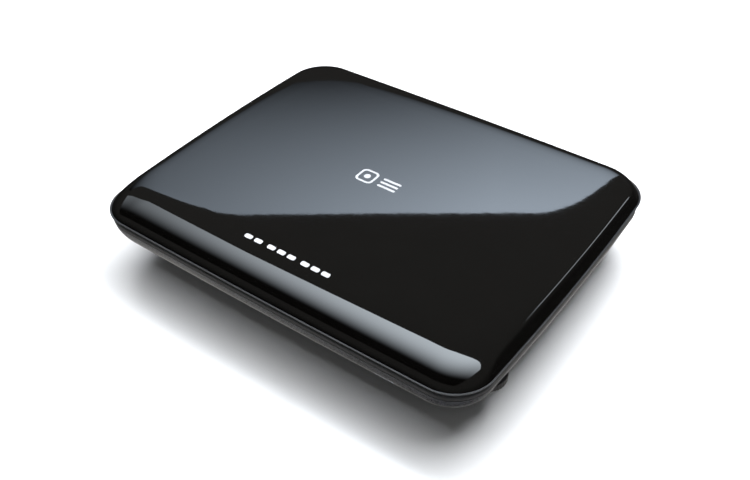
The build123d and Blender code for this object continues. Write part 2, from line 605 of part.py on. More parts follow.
def pickup_sled():
    """The laser sled: bored for the two rods, with a nut on the lead screw and a raised lens head."""
    x0, x1 = LENS_X - 11.0, LENS_X + 13.0
    sled = block(x0, x1, ROD_YS[0] - 3.0, ROD_YS[1] + 3.0, 9.4, 15.6)
    sled += block(LENS_X - 4.0, LENS_X + 8.0, ROD_YS[1] + 3.0, SCREW_Y + 3.0, 9.9, 15.1)
    sled += block(LENS_X - 3.4, LENS_X + 3.4, DISC_Y - 4.5, DISC_Y + 4.5, 15.6, 18.0)
    for y in ROD_YS:
        sled -= rod_x(y, RAIL_Z, x0 - 1.0, x1 + 1.0, ROD_R + RUN)
    sled -= rod_x(SCREW_Y, RAIL_Z, x0 - 1.0, x1 + 1.0, SCREW_R + RUN)
    return sled - post(LENS_X, DISC_Y, 17.2, 19.0, 2.2)


def sled_motor():
    """The small motor that turns the lead screw."""
    motor = rod_x(SCREW_Y, RAIL_Z, -34.0, -17.0, 4.2)
    motor += block(-33.0, -18.0, SCREW_Y - 2.6, SCREW_Y + 2.6, CHASSIS_Z1, RAIL_Z)
    return motor - rod_x(SCREW_Y, RAIL_Z, -22.0, -16.0, SCREW_R + RUN)


save("traverse_chassis", traverse_chassis())
save("chassis_dampers", group(damper(x, y) for x, y in DAMPERS))
save("spindle_motor", post(DISC_X, DISC_Y, CHASSIS_Z1, 16.6, 10.4) - post(DISC_X, DISC_Y, 9.5, 17.0, 1.0 + RUN))
save("spindle_hub", spindle_hub())
save("hub_balls", group(ball(i, 1.1) for i in range(3)))
save("guide_rods", group(rod_x(y, RAIL_Z, -16.0, 53.0, ROD_R) for y in ROD_YS))
save("pickup_sled", pickup_sled())
save("objective_lens", post(LENS_X, DISC_Y, 17.2, 18.4, 2.2))
save("lead_screw", rod_x(SCREW_Y, RAIL_Z, -21.5, 53.0, SCREW_R))
save("sled_motor", sled_motor())


# ---------------------------------------------------------------- ports and side controls
def jack(side, y, ring_r, bore, depth, inner_x, z0, z1):
    """A socket: a body inside the wall with a round snout through it and a bore for the plug."""
    body = block(side * PORT_BACK, side * inner_x, y - ring_r - 0.8, y + ring_r + 0.8, z0, z1)
    body += rod_x(y, PORT_Z, side * (PORT_BACK - 1.0), side * (PORT_FACE + 0.3), ring_r)
    return body - rod_x(y, PORT_Z, side * (PORT_FACE + 1.0 - depth), side * 98.0, bore)


def volume_wheel():
    """The knurled volume wheel, edge on in its slot."""
    wheel = post(WHEEL_X, WHEEL_Y, WHEEL_Z0, WHEEL_Z1, WHEEL_R) - post(WHEEL_X, WHEEL_Y, 0.0, 30.0, AXLE_R + RUN)
    for i in range(36):
        a = 2 * pi * i / 36
        wheel -= post(WHEEL_X + (WHEEL_R + 0.1) * cos(a), WHEEL_Y + (WHEEL_R + 0.1) * sin(a), 0.0, 30.0, 0.4)
    return wheel


def status_window():
    """The lens over the front indicator, flush with the hull."""
    half_w, half_h = WINDOW_W / 2 - 0.05, WINDOW_H / 2 - 0.05
    lens = block(WINDOW_X - half_w, WINDOW_X + half_w, -80.0, -75.0, WINDOW_Z - half_h, WINDOW_Z + half_h)
    return (lens & HULL_OUTER) - body_of(HULL_PROFILE, shrink=HULL_WALL, low=FOOT_DROP + HULL_WALL)


dc = jack(-1, DC_Y, DC_R, DC_BORE, 8.0, 84.2, MAIN_BOARD_TOP, 20.0)
dc += rod_x(DC_Y, PORT_Z, -87.0, -93.5, 1.0)
switch_body = block(-PORT_BACK, -86.0, SWITCH_Y - 6.0, SWITCH_Y + 6.0, MAIN_BOARD_TOP, 19.0)
switch_body -= block(-PORT_BACK - 1.0, -90.8, SWITCH_Y - 4.3, SWITCH_Y + 4.3, PORT_Z - 1.7, PORT_Z + 1.7)
save("headphone_jacks", group(jack(1, y, JACK_R, JACK_BORE, 11.0, 82.0, 12.2, BOARD_Z) for y in JACK_YS))
save("dc_jack", dc)
save("av_jack", jack(-1, AV_Y, JACK_R, JACK_BORE, 9.0, 84.2, MAIN_BOARD_TOP, 20.0))
save("switch_body", switch_body)
save("power_knob", plate_x(KNOB_Y, PORT_Z, 3.2, 3.2, 0.5, -91.0, -96.2))
save("volume_wheel", volume_wheel())
save("status_window", status_window())


# ---------------------------------------------------------------- lid
def badge():
    """A plain mark in the middle of the lid: a rounded square frame, a dot and three bars."""
    x, y = BADGE_XY
    frame = slab(x, y, 9.2, 9.2, 2.4, MARK_Z, HEIGHT) - slab(x, y, 7.0, 7.0, 1.5, MARK_Z - 0.4, HEIGHT + 1.0)
    bars = [pill(x + 12.2, y + 2.6 * (i - 1), 9.6, 1.3, MARK_Z, HEIGHT) for i in range(3)]
    return [frame, post(x, y, MARK_Z, HEIGHT, 1.6)] + bars


def front_marks():
    """A row of short dashes near the lid's front edge."""
    starts = (-24.0, -18.6, -11.4, -6.0, -0.6, 6.6, 12.0, 17.4)
    return [slab(x, DASH_Y, 4.0, 2.2, 0.8, MARK_Z - 0.3, HEIGHT + 1.0) & LID_OUTER for x in starts]


def lid_cover():
    """The lid's outer cover: a dished shell with a soft front roll and screw posts inside."""
    cover = LID_OUTER - body_of(LID_HOLLOW)
    for x, y in LID_POSTS:
        cover += post(x, y, LID_POST_Z, CEILING_Z + 0.3, 3.2)
    for x, y in LID_POSTS:
        cover -= post(x, y, BEZEL_Z, CEILING_Z + 0.2, 1.2)
    for shape in badge() + front_marks():
        cover -= shape
    return cover


def lid_bezel():
    """The frame round the screen, with its lip, grilles and fixings."""
    bezel = body_of(LIP_PROFILE) + body_of(LID_HOLLOW, shrink=0.1, low=28.3, high=BEZEL_Z)
    for x, y in LID_POSTS:
        bezel += post(x, y, BEZEL_Z, LID_POST_Z, 3.6)
    for x, y in FRAME_POSTS:
        bezel += post(x, y, BEZEL_Z, EAR_Z, 2.6)
    bezel -= slab(0.0, SCREEN_Y, SCREEN_W, SCREEN_D, 2.0, 20.0, HEIGHT)
    bezel -= block(-NECK_HALF - 0.1, NECK_HALF + 0.1, NECK_Y0 - 0.1, NECK_Y1 + 0.1, 20.0, HEIGHT)
    for x, y in LID_POSTS:
        bezel -= post(x, y, 20.0, 29.6, 2.6) + post(x, y, 29.0, 31.0, 1.2)
    for x, y in FRAME_POSTS:
        bezel -= post(x, y, 28.7, 31.0, 0.9)
    for x, y in BUMPERS:
        bezel -= post(x, y, 20.0, 28.1, 3.0)
    for side in (-1, 1):
        for i in range(7):
            bezel -= pill(side * SPEAKER_X + 3.0 * (i - 3), SPEAKER_Y, 1.4, 20.0 - abs(i - 3) * 2.6, 20.0, HEIGHT)
    return bezel


def screen_frame():
    """The metal tray that holds the panel against the bezel, with four ears."""
    frame = slab(0.0, SCREEN_Y, PANEL_W + 3.4, PANEL_D + 3.4, 3.0, BEZEL_Z, TRAY_Z)
    frame -= slab(0.0, SCREEN_Y, PANEL_W, PANEL_D, 1.5, 20.0, PANEL_Z1)
    for x, y in FRAME_POSTS:
        frame += block(x - 3.9 if x > 0 else x + 3.9, x + (3.0 if x > 0 else -3.0), y - 3.0, y + 3.0, EAR_Z, EAR_Z + 0.8)
    for x, y in FRAME_POSTS:
        frame -= post(x, y, BEZEL_Z, CEILING_Z, 0.9)
    return frame


def speaker(x):
    """A small round speaker with a dished cone."""
    unit = post(x, SPEAKER_Y, BEZEL_Z, 30.9, SPEAKER_R) + post(x, SPEAKER_Y, 30.9, CEILING_Z - 0.2, 9.0)
    return unit - Pos(x, SPEAKER_Y, BEZEL_Z) * Cone(11.2, 3.5, 1.2, align=UP)


save("lid_cover", lid_cover())
save("lid_bezel", lid_bezel())
save("lid_badge", group(badge()))
save("lid_marks", group(front_marks()))
save("screen_panel", slab(0.0, SCREEN_Y, PANEL_W, PANEL_D, 1.5, BEZEL_Z, PANEL_Z1))
save("screen_frame", screen_frame())
save("frame_screws", group(screw(x, y, EAR_Z + 0.8, 2.6, 0.9, 1.8, 0.8, -1) for x, y in FRAME_POSTS))
save("screen_board", slab(0.0, SCREEN_Y, 110.0, 56.0, 2.0, TRAY_Z, TRAY_Z + 0.8))
save("left_speaker", speaker(-SPEAKER_X))
save("right_speaker", speaker(SPEAKER_X))
save("lid_bumpers", group(post(x, y, DECK_Z + 0.05, 28.1, 3.0) for x, y in BUMPERS))
save("lid_screws", group(screw(x, y, 29.6, 3.2, 1.2, 2.3, 1.2) for x, y in LID_POSTS))
save("screw_plugs", group(post(x, y, 27.8, 28.4, 2.6) for x, y in LID_POSTS))
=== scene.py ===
import json
import math

import bpy
from mathutils import Matrix, Vector


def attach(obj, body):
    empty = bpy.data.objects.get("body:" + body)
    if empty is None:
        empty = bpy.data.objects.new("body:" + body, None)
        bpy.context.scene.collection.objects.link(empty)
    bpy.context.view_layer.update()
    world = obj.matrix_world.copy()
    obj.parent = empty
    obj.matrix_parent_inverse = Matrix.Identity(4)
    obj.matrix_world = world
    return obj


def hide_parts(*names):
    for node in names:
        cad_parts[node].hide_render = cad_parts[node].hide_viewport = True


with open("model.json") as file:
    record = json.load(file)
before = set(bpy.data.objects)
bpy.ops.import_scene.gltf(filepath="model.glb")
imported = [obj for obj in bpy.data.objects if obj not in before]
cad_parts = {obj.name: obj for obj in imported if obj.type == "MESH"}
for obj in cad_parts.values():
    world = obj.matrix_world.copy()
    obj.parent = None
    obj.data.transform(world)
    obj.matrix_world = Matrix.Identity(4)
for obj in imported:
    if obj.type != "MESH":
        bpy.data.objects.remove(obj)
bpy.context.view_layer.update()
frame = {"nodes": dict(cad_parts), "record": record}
NODES = frame["nodes"]
MM = 0.001
SCENE = bpy.context.scene

# ---------------------------------------------------------------- camera
SEAM_Z = 27.9 * MM
CAM_AZIMUTH, CAM_ELEVATION, CAM_ROLL = 36.014, 41.095, -0.578
CAM_DISTANCE = 386.8 * MM
CAM_TARGET = Vector((25.87 * MM, -25.08 * MM, SEAM_Z))
CAM_LENS, SENSOR = 43.95, 36.0


def make_camera():
    """The photograph's viewpoint: above the right-hand front corner, close to the object."""
    a, e = math.radians(CAM_AZIMUTH), math.radians(CAM_ELEVATION)
    back = Vector((math.sin(a) * math.cos(e), -math.cos(a) * math.cos(e), math.sin(e)))
    right = (-back).cross(Vector((0, 0, 1))).normalized()
    up = right.cross(-back)
    r = math.radians(CAM_ROLL)
    right, up = right * math.cos(r) + up * math.sin(r), up * math.cos(r) - right * math.sin(r)
    data = bpy.data.cameras.new("Camera")
    data.lens, data.sensor_width = CAM_LENS, SENSOR
    data.shift_x, data.shift_y = -0.0209, 0.0135
    data.clip_start, data.clip_end = 0.01, 100.0
    camera = bpy.data.objects.new("Camera", data)
    SCENE.collection.objects.link(camera)
    turn = Matrix((right, up, back)).transposed().to_4x4()
    camera.matrix_world = Matrix.Translation(CAM_TARGET + back * CAM_DISTANCE) @ turn
    SCENE.camera = camera


make_camera()
SCENE.view_settings.view_transform = "Standard"


# ---------------------------------------------------------------- material nodes
class Nodes:
    """A short way to build one material's node tree."""

    def __init__(self, name):
        self.material = bpy.data.materials.new(name)
        self.material.use_nodes = True
        self.tree = self.material.node_tree
        self.shader = self.tree.nodes["Principled BSDF"]

    def add(self, kind, **inputs):
        """Adds a node. An input is a number, a colour or another node's output."""
        node = self.tree.nodes.new(kind)
        for key, value in inputs.items():
            if hasattr(node, key):
                setattr(node, key, value)
                continue
            self.put(node, key.replace("_", " "), value)
        return node

    def put(self, node, name, value):
        """Sets or links one input of a node."""
        socket = node.inputs[name]
        if isinstance(value, bpy.types.NodeSocket):
            self.tree.links.new(value, socket)
        elif isinstance(value, tuple) and len(value) == 3 and socket.type == "RGBA":
            socket.default_value = (*value, 1.0)
        else:
            socket.default_value = value

    def set(self, **inputs):
        """Sets inputs of the main shader."""
        for key, value in inputs.items():
            self.put(self.shader, key.replace("_", " "), value)

    def place(self):
        """Object coordinates, in metres."""
        return self.add("ShaderNodeTexCoord").outputs["Object"]

    def noise(self, scale, detail=3.0, roughness=0.5, vector=None):
        """A noise value. scale is in features per metre."""
        node = self.add("ShaderNodeTexNoise", Scale=scale, Detail=detail, Roughness=roughness)
        self.put(node, "Vector", vector or self.place())
        return node.outputs["Fac"]

    def spread(self, value, low, high, start=0.3, end=0.7):
        """Maps a value from start..end to low..high."""
        node = self.add("ShaderNodeMapRange", Value=value)
        for name, number in (("From Min", start), ("From Max", end), ("To Min", low), ("To Max", high)):
            node.inputs[name].default_value = number
        return node.outputs["Result"]

    def blend(self, factor, one, two):
        """Mixes two colours."""
        node = self.tree.nodes.new("ShaderNodeMix")
        node.data_type = "RGBA"
        sockets = [s for s in node.inputs if s.type == "RGBA"]
        for socket, value in zip(sockets, (one, two)):
            if isinstance(value, tuple):
                socket.default_value = (*value, 1.0)
            else:
                self.tree.links.new(value, socket)
        self.put(node, "Factor", factor)
        return [s for s in node.outputs if s.type == "RGBA"][0]

    def bump(self, height, distance, strength=1.0):
        """Bumps the surface by a height times a distance in metres."""
        node = self.add("ShaderNodeBump", Height=height, Strength=strength, Distance=distance)
        self.put(self.shader, "Normal", node.outputs["Normal"])


def gloss_black():
    """Piano-black lacquered plastic: a deep base, a sharp gloss with the faintest ripple."""
    n = Nodes("Gloss_Black")
    n.set(Base_Color=n.blend(n.noise(60.0), (0.0016, 0.0015, 0.0014), (0.0028, 0.0026, 0.0024)))
    n.set(Roughness=n.spread(n.noise(900.0, 2.0), 0.02, 0.03), IOR=1.5)
    n.bump(n.noise(260.0, 1.0), 0.000002)
    return n.material


def satin(name, dark, light, rough, grain=2600.0, depth=0.00001):
    """Moulded plastic with a spark-eroded grain."""
    n = Nodes(name)
    n.set(Base_Color=n.blend(n.noise(45.0), dark, light))
    n.set(Roughness=n.spread(n.noise(grain, 2.0), rough - 0.05, rough + 0.06))
    n.bump(n.noise(grain, 2.0, 0.6), depth)
    return n.material


def metal(name, dark, light, rough, streak=(1.0, 1.0, 1.0)):
    """Metal with fine drawn or turned streaks."""
    n = Nodes(name)
    scaled = n.add("ShaderNodeMapping", Vector=n.place())
    scaled.inputs["Scale"].default_value = streak
    value = n.noise(3000.0, 2.0, 0.5, scaled.outputs["Vector"])
    n.set(Base_Color=n.blend(value, dark, light), Metallic=1.0)
    n.set(Roughness=n.spread(value, rough - 0.06, rough + 0.08))
    n.bump(value, 0.000004)
    return n.material


def ringed(name, dark, light, rough, pitch, distance):
    """A turned or pressed surface with fine concentric rings about its own middle."""
    n = Nodes(name)
    rings = n.add("ShaderNodeTexWave", wave_type="RINGS", rings_direction="Z", Vector=n.place(),
                  Scale=pitch, Distortion=0.4, Detail=1.0)
    value = rings.outputs["Fac"]
    n.set(Base_Color=n.blend(n.noise(80.0), dark, light))
    n.set(Roughness=n.spread(value, rough - 0.06, rough + 0.06, 0.0, 1.0))
    n.bump(value, distance, 0.5)
    return n.material


def circuit():
    """Solder-masked board: a green ground, lighter tracks and small pads."""
    n = Nodes("Circuit_Green")
    tracks = n.add("ShaderNodeTexBrick", Vector=n.place(), Scale=160.0, Mortar_Size=0.035, Row_Height=0.3,
                   Brick_Width=0.9).outputs["Fac"]
    pads = n.add("ShaderNodeTexVoronoi", Vector=n.place(), Scale=420.0, Randomness=0.7).outputs["Distance"]
    ground = n.blend(tracks, (0.012, 0.085, 0.035), (0.03, 0.17, 0.075))
    dots = n.spread(pads, 1.0, 0.0, 0.13, 0.17)
    n.set(Base_Color=n.blend(dots, ground, (0.55, 0.53, 0.42)), Metallic=n.spread(dots, 0.0, 0.85, 0.0, 1.0))
    n.set(Roughness=n.spread(n.noise(1500.0), 0.24, 0.36))
    n.bump(tracks, 0.00003, 0.6)
    return n.material


def screen_glass():
    """A dark display behind glass: a smoky blue-black ground with the faintest cloud."""
    n = Nodes("Screen_Glass")
    n.set(Base_Color=n.blend(n.noise(14.0, 2.0), (0.004, 0.005, 0.008), (0.009, 0.011, 0.017)))
    n.set(Roughness=n.spread(n.noise(700.0), 0.06, 0.1), IOR=1.5, Coat_Weight=0.6, Coat_Roughness=0.03)
    n.bump(n.noise(120.0, 1.0), 0.000002)
    return n.material


def battery():
    """Shrink-wrapped cells: a blue film, with painted shade in soft darker bands where the cells meet."""
    n = Nodes("Battery_Film")
    bands = n.add("ShaderNodeTexWave", wave_type="BANDS", bands_direction="X", Vector=n.place(), Scale=9.0,
                  Distortion=0.0).outputs["Fac"]
    # the darker half of each band is painted shade in the creases between the rounded cells; the film itself
    # is one blue
    n.set(Base_Color=n.blend(bands, (0.012, 0.022, 0.07), (0.05, 0.085, 0.21)))
    n.set(Roughness=n.spread(n.noise(500.0), 0.22, 0.38))
    n.bump(n.noise(180.0), 0.00008, 0.5)
    return n.material


def coated_lens():
    """A coated lens: a violet-blue sheen that deepens at the rim."""
    n = Nodes("Lens_Coated")
    edge = n.add("ShaderNodeLayerWeight", Blend=0.35).outputs["Facing"]
    n.set(Base_Color=n.blend(edge, (0.1, 0.13, 0.42), (0.3, 0.08, 0.3)))
    n.set(Roughness=n.spread(n.noise(900.0), 0.03, 0.07))
    n.set(Transmission_Weight=0.35, IOR=1.6, Coat_Weight=1.0)
    n.bump(n.noise(300.0, 1.0), 0.000002)
    return n.material


def tinted_window():
    """A small light window of smoky, slightly frosted plastic."""
    n = Nodes("Window_Tinted")
    n.set(Base_Color=n.blend(n.noise(160.0), (0.3, 0.34, 0.42), (0.46, 0.52, 0.62)))
    n.set(Roughness=n.spread(n.noise(1800.0), 0.14, 0.24), Transmission_Weight=0.4, IOR=1.49)
    n.bump(n.noise(1500.0), 0.000006)
    return n.material


def paint(obj, material):
    """Gives one material to an object's every slot."""
    for slot in obj.material_slots:
        slot.material = material
    if not obj.material_slots:
        obj.data.materials.append(material)


MATERIALS = {
    "gloss_shell": gloss_black(),
    "bezel_black": satin("Bezel_Satin", (0.014, 0.014, 0.016), (0.02, 0.02, 0.023), 0.34),
    "hull_grey": satin("Hull_Satin", (0.040, 0.041, 0.046), (0.048, 0.049, 0.055), 0.26),
    "deck_black": satin("Deck_Satin", (0.022, 0.022, 0.025), (0.028, 0.028, 0.032), 0.36),
    "key_silver": satin("Key_Silver", (0.42, 0.43, 0.45), (0.5, 0.51, 0.53), 0.32),
    "rubber_black": satin("Rubber_Black", (0.012,) * 3, (0.018,) * 3, 0.75, 1800.0, 0.00002),
    "steel": metal("Steel_Bright", (0.5, 0.5, 0.51), (0.66, 0.66, 0.67), 0.25),
    "door_gloss": satin("Door_Lacquer", (0.016, 0.016, 0.019), (0.023, 0.023, 0.027), 0.13, 700.0, 0.000002),
    "print_silver": satin("Print_Silver", (0.4, 0.42, 0.45), (0.48, 0.5, 0.54), 0.4, 5200.0, 0.000004),
    "sheet_steel": metal("Sheet_Steel", (0.42, 0.43, 0.44), (0.57, 0.58, 0.59), 0.36, (0.06, 1.0, 1.0)),
    "cast_metal": satin("Hinge_Cast", (0.026, 0.026, 0.029), (0.036, 0.036, 0.04), 0.42, 1500.0, 0.00003),
    "motor_can": metal("Motor_Can", (0.4, 0.4, 0.41), (0.54, 0.54, 0.55), 0.3, (1.0, 1.0, 0.08)),
    "hub_black": ringed("Hub_Turned", (0.016, 0.016, 0.017), (0.024, 0.024, 0.026), 0.4, 240.0, 0.00001),
    "sled_zinc": metal("Sled_Zinc", (0.3, 0.31, 0.32), (0.43, 0.44, 0.46), 0.44),
    "lens_glass": coated_lens(),
    "pcb_green": circuit(),
    "chip_black": satin("Chip_Epoxy", (0.012, 0.012, 0.013), (0.02, 0.02, 0.022), 0.5, 3400.0, 0.000015),
    "switch_metal": metal("Switch_Plate", (0.46, 0.46, 0.46), (0.6, 0.6, 0.6), 0.34, (1.0, 0.1, 1.0)),
    "battery_wrap": battery(),
    "panel_glass": screen_glass(),
    "cone_black": ringed("Cone_Pulp", (0.014, 0.014, 0.014), (0.024, 0.024, 0.024), 0.72, 200.0, 0.00006),
    "jack_black": satin("Jack_Black", (0.011, 0.011, 0.011), (0.017, 0.017, 0.018), 0.38, 2400.0, 0.00001),
    "window_smoke": tinted_window(),
}
for entry in frame["record"]["subparts"]:
    paint(NODES[entry["node"]], MATERIALS[entry["material_slot"]])


# ---------------------------------------------------------------- smooth mouldings
WIDTH, DEPTH, CORNER = 200.0, 160.0, 18.0
SIDE_BOW, END_BOW = 2.0, 0.8
CORNER_STEPS, SIDE_STEPS = 26, 30


def tangent_corner(one, two, radius, sx, sy):
    """Centre of the circle of that radius that touches two larger ones from inside, in quadrant (sx, sy)."""
    (cx, cy, cr), (dx, dy, dr) = one, two
    a, b = cr - radius, dr - radius
    span = math.hypot(dx - cx, dy - cy)
    along = (a * a - b * b + span * span) / (2 * span)
    off = math.sqrt(max(a * a - along * along, 0.0))
    ux, uy = (dx - cx) / span, (dy - cy) / span
    options = [(cx + along * ux - s * off * uy, cy + along * uy + s * off * ux) for s in (1, -1)]
    return max(options, key=lambda p: p[0] * sx + p[1] * sy)


def arc(centre, start, end, steps):
    """Points along the shorter arc from start up to, and without, end."""
    cx, cy = centre
    r = math.hypot(start[0] - cx, start[1] - cy)
    a0 = math.atan2(start[1] - cy, start[0] - cx)
    turn = math.atan2(end[1] - cy, end[0] - cx) - a0
    turn = (turn + math.pi) % (2 * math.pi) - math.pi
    angles = [a0 + turn * i / steps for i in range(steps)]
    return [(cx + r * math.cos(angle), cy + r * math.sin(angle)) for angle in angles]


def outline(side, front, back):
    """The player's bowed plan outline, drawn in by three insets, in millimetres."""
    hx, y0, y1 = WIDTH / 2 - side, -DEPTH / 2 + front, DEPTH / 2 - back
    mid, hy = (y0 + y1) / 2, (y1 - y0) / 2
    side_r, end_r = hy * hy / (2 * SIDE_BOW), hx * hx / (2 * END_BOW)
    corner = CORNER - 0.3 * min(side, 16.0) + 0.15 * (front - side)
    front_c, back_c = (0.0, y0 + end_r, end_r), (0.0, y1 - end_r, end_r)
    right_c, left_c = (hx - side_r, mid, side_r), (side_r - hx, mid, side_r)
    joins = (
        (front_c, right_c, 1, -1),
        (right_c, back_c, 1, 1),
        (back_c, left_c, -1, 1),
        (left_c, front_c, -1, -1),
    )
    corners = []
    for one, two, sx, sy in joins:
        centre = tangent_corner(one, two, corner, sx, sy)
        ends = []
        for cx, cy, r in (one, two):
            far = math.hypot(centre[0] - cx, centre[1] - cy)
            ends.append((cx + (centre[0] - cx) / far * r, cy + (centre[1] - cy) / far * r))
        corners.append((centre, ends, two))
    points = []
    for i, (centre, (start, end), large) in enumerate(corners):
        points += arc(centre, start, end, CORNER_STEPS)
        points += arc(large[:2], end, corners[(i + 1) % 4][1][0], SIDE_STEPS)
    return points


def spline_rows(rows, count):
    """Rows of numbers made dense with a natural cubic spline through them, by chord length."""
    knots = [0.0]
    for one, two in zip(rows, rows[1:]):
        inward = sum(a - b for a, b in zip(one[1:], two[1:])) / 3
        knots.append(knots[-1] + math.hypot(one[0] - two[0], inward))
    columns = [natural_spline(knots, [row[i] for row in rows]) for i in range(len(rows[0]))]
    return [[column(knots[-1] * i / (count - 1)) for column in columns] for i in range(count)]


def natural_spline(x, y):
    """The natural cubic spline through the points, as a function."""
    n = len(x) - 1
    h = [b - a for a, b in zip(x, x[1:])]
    mu, z = [0.0] * (n + 1), [0.0] * (n + 1)
    for i in range(1, n):
        rise = 3 * ((y[i + 1] - y[i]) / h[i] - (y[i] - y[i - 1]) / h[i - 1])
        base = 2 * (x[i + 1] - x[i - 1]) - h[i - 1] * mu[i - 1]
        mu[i], z[i] = h[i] / base, (rise - h[i - 1] * z[i - 1]) / base
    c = [0.0] * (n + 1)
    for i in range(n - 1, 0, -1):
        c[i] = z[i] - mu[i] * c[i + 1]

    def value(t):
        i = max(k for k in range(n) if x[k] <= t or k == 0)
        u = t - x[i]
        b = (y[i + 1] - y[i]) / h[i] - h[i] * (c[i + 1] + 2 * c[i]) / 3
        return y[i] + u * (b + u * (c[i] + u * (c[i + 1] - c[i]) / (3 * h[i])))

    return value


def link(name, mesh, smooth=True):
    """Makes an object of a mesh, in the scene."""
    for polygon in mesh.polygons:
        polygon.use_smooth = smooth
    obj = bpy.data.objects.new(name, mesh)
    SCENE.collection.objects.link(obj)
    return obj


def skin(name, rings):
    """Joins rings of points, all with the same count, into one skin, and closes both ends with a fan."""
    count = len(rings[0])
    verts = [(x * MM, y * MM, z * MM) for ring in rings for x, y, z in ring]
    faces = []
    for r in range(len(rings) - 1):
        for i in range(count):
            j = (i + 1) % count
            faces.append((r * count + i, r * count + j, (r + 1) * count + j, (r + 1) * count + i))
    for first, flip in ((0, True), ((len(rings) - 1) * count, False)):
        ring = rings[0] if flip else rings[-1]
        verts.append(tuple(sum(p[k] for p in ring) / count * MM for k in range(3)))
        hub = len(verts) - 1
        for i in range(count):
            j = (i + 1) % count
            faces.append((first + j, first + i, hub) if flip else (first + i, first + j, hub))
    mesh = bpy.data.meshes.new(name)
    mesh.from_pydata(verts, [], faces)
    mesh.update()
    return mesh


LID_SKIN, LID_WALL = 1.2, 1.4
# z, then the side, front and back insets
LID_PROFILE = (
    (28.3, 0.50, 0.50, 0.60),
    (29.3, 1.10, 1.10, 1.10),
    (30.3, 1.70, 2.20, 1.60),
    (31.2, 2.25, 3.90, 2.10),
    (32.0, 2.75, 6.10, 2.60),
    (32.6, 3.15, 8.40, 3.00),
    (33.1, 3.60, 11.00, 3.50),
    (33.45, 4.15, 13.50, 4.15),
    (33.7, 4.90, 16.00, 5.10),
    (33.85, 5.90, 18.50, 6.30),
    (33.95, 7.60, 21.50, 8.40),
    (34.0, 10.50, 25.50, 12.00),
)
LID_ROWS, LID_INNER_STEP, TOP_RINGS = 60, 4, 12
CROWN = 0.12


def crowned(points, z):
    """A ring of points at z, lowered a little away from the middle so that the top is very slightly domed."""
    return [(x, y, z - CROWN * ((x / (WIDTH / 2)) ** 2 + (y / (DEPTH / 2)) ** 2)) for x, y in points]


def lid_shell():
    """The lid's cover: the outer skin from the seam to the middle of the top, and its inside."""
    low, top = LID_PROFILE[0][0], LID_PROFILE[-1][0]
    rows = spline_rows(LID_PROFILE, LID_ROWS)
    rings = [crowned(outline(*insets), z) for z, *insets in rows]
    edge = rings[-1]
    for i in range(1, TOP_RINGS):
        share = 1 - i / TOP_RINGS
        rings.append(crowned([(x * share, y * share) for x, y, _ in edge], top))
    inner = []
    for z, *insets in rows[::LID_INNER_STEP]:
        if z - LID_SKIN > low:
            ring = crowned(outline(*[inset + LID_WALL for inset in insets]), z)
            inner.append([(x, y, height - LID_SKIN) for x, y, height in ring])
    inner.insert(0, [(x, y, low) for x, y, _ in inner[0]])
    return skin("Lid_Top_Smooth", list(reversed(inner)) + rings)


lid = link("Lid_Top_Smooth", lid_shell())
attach(lid, "lid")
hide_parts("lid_cover")
paint(lid, MATERIALS["gloss_shell"])


# ---------------------------------------------------------------- printed key symbols
PRINT_DARK = satin("Print_Dark", (0.02, 0.02, 0.024), (0.03, 0.03, 0.034), 0.5, 4200.0, 0.000004)
FILM = 0.02


def top_of(node):
    """The highest point of a CAD node, in millimetres."""
    obj = NODES[node]
    return max((obj.matrix_world @ v.co).z for v in obj.data.vertices) / MM


def symbol(name, node, shapes):
    """Printed film on top of a key: flat polygons given in millimetres, with a hair's thickness."""
    z = top_of(node)
    verts, faces = [], []
    for points in shapes:
        base, count = len(verts), len(points)
        verts += [(x * MM, y * MM, (z + FILM) * MM) for x, y in points]
        verts += [(x * MM, y * MM, (z - FILM) * MM) for x, y in points]
        faces.append(tuple(range(base, base + count)))
        faces.append(tuple(range(base + 2 * count - 1, base + count - 1, -1)))
        for i in range(count):
            j = (i + 1) % count
            faces.append((base + i, base + count + i, base + count + j, base + j))
    mesh = bpy.data.meshes.new(name)
    mesh.from_pydata(verts, [], faces)
    mesh.update()
    piece = link(name, mesh, smooth=False)
    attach(piece, node + "_body")
    paint(piece, PRINT_DARK)


def bar(x, y, w, d):
    """A rectangle about a middle."""
    return [(x - w / 2, y - d / 2), (x + w / 2, y - d / 2), (x + w / 2, y + d / 2), (x - w / 2, y + d / 2)]


def wedge(x, y, size, way=1):
    """A triangle that points along +X or -X."""
    points = [(x - way * size / 2, y - size / 2), (x + way * size / 2, y), (x - way * size / 2, y + size / 2)]
    return points if way > 0 else points[::-1]


def up_wedge(x, y, w, d):
    """A triangle that points along +Y."""
    return [(x - w / 2, y - d / 2), (x + w / 2, y - d / 2), (x, y + d / 2)]


KEY_X, PAIR_X = 69.0, 13.0
PLAY_Y, STOP_Y, SKIP_Y, PAIR_Y, OPEN_Y = -21.0, -31.0, -41.0, 26.0, 40.0
BACK_X, NEXT_X, MENU_X, DISPLAY_X = KEY_X - PAIR_X, KEY_X + PAIR_X, KEY_X - PAIR_X, KEY_X + PAIR_X


def skip(x, way):
    """Two triangles and a bar, for the previous and next keys."""
    return [
        wedge(x - way * 1.1, SKIP_Y, 2.2, way),
        wedge(x + way * 1.2, SKIP_Y, 2.2, way),
        bar(x + way * 2.9, SKIP_Y, 0.6, 2.3),
    ]


